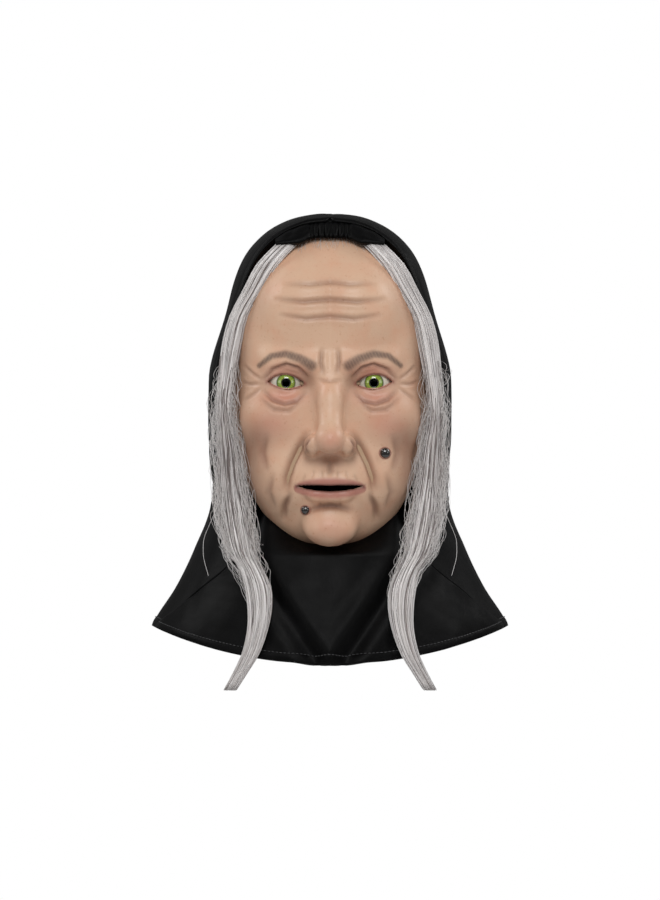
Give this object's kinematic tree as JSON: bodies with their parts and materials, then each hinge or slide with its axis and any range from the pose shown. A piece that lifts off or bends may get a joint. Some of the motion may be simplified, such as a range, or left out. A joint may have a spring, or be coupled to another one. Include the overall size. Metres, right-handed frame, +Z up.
{
  "type": "latex halloween mask",
  "caption": "Hollow latex old-woman face mask in a black satin hood with a short shoulder cape, long silver hair locks beside the face, sight holes and a breathing slot.",
  "frame": {"origin": "middle of the wearer's head at eye level", "axes": "+Z up, the face looks along -Y, +X is the wearer's left"},
  "size_m": [0.2956, 0.2481, 0.3929],
  "materials": {
    "latex_skin": "semi-matt painted latex with airbrushed folds",
    "eye_gloss": "wet high gloss, painted iris",
    "mole_resin": "glossy black resin",
    "foam": "open-cell foam",
    "elastic": "ribbed woven elastic",
    "strap_tab": "matt",
    "rivet_metal": "brushed",
    "hood_satin": "black satin, soft sheen",
    "hair_silver": "glossy silver-white synthetic hair",
    "weft_tape": "woven tape"
  },
  "bodies": {
    "mask": {"face_shell": "latex_skin", "left_eye": "eye_gloss", "right_eye": "eye_gloss", "cheek_mole": "mole_resin", "chin_mole": "mole_resin", "forehead_pad": "foam", "left_cheek_pad": "foam", "right_cheek_pad": "foam", "elastic_strap": "elastic", "left_strap_tab": "strap_tab", "right_strap_tab": "strap_tab", "strap_rivets": "rivet_metal", "hood_left_panel": "hood_satin", "hood_right_panel": "hood_satin", "hood_left_edge": "hood_satin", "hood_right_edge": "hood_satin", "hood_centre_seam": "hood_satin", "left_wing": "hood_satin", "right_wing": "hood_satin", "left_wing_hem": "hood_satin", "right_wing_hem": "hood_satin", "throat_bib": "hood_satin", "bib_hem": "hood_satin", "left_brow_flap": "hood_satin", "right_brow_flap": "hood_satin", "brow_gather": "hood_satin", "left_lock": "hair_silver", "right_lock": "hair_silver", "left_weft": "weft_tape", "right_weft": "weft_tape"},
    "left_hair_tail": {"left_tail": "hair_silver"},
    "right_hair_tail": {"right_tail": "hair_silver"},
    "nape_curtain": {"nape_panel": "hood_satin", "nape_hem": "hood_satin"}
  },
  "joints": [
    {"name": "left_tail_swing", "type": "hinge", "parent": "mask", "child": "left_hair_tail", "pos_m": [0.0695, -0.081, -0.146], "axis": [-1, 0, 0], "range_deg": [0, 60]},
    {"name": "right_tail_swing", "type": "hinge", "parent": "mask", "child": "right_hair_tail", "pos_m": [-0.0695, -0.081, -0.146], "axis": [-1, 0, 0], "range_deg": [0, 60]},
    {"name": "nape_curtain_lift", "type": "hinge", "parent": "mask", "child": "nape_curtain", "pos_m": [0, 0.0985, -0.098], "axis": [1, 0, 0], "range_deg": [0, 35]}
  ]
}
